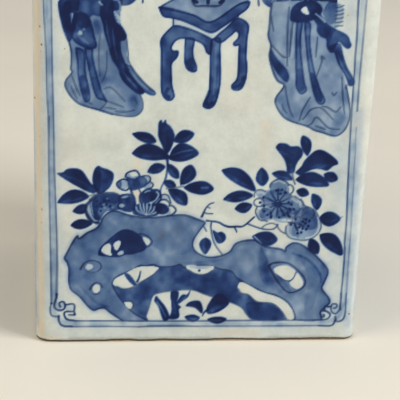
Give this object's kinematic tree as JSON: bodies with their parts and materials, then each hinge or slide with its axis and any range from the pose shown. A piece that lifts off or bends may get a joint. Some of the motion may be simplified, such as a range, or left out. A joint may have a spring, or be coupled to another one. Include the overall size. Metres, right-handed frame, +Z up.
{
  "type": "lidded square flask",
  "caption": "Square slab-built porcelain flask with flared walls, rounded corners, a short round neck and a loose cap-shaped cover.",
  "frame": {"origin": "centre of the flat resting face, on the surface that the flask stands on", "axes": "+Z up along the neck's axis, -Y out of the painted front face, +X to the right of someone who looks at the front"},
  "size_m": [0.113, 0.113, 0.223],
  "materials": {
    "glazed_body": "glossy glaze over underglaze blue painting, unglazed resting face",
    "glazed_cover": "glossy glaze over underglaze blue painting, unglazed rim"
  },
  "bodies": {
    "flask": {"flask_body": "glazed_body"},
    "cover": {"cover": "glazed_cover"}
  },
  "joints": [
    {"name": "cover_lift", "type": "slide", "parent": "flask", "child": "cover", "axis": [0, 0, 1], "range_m": [0, 0.06]}
  ]
}
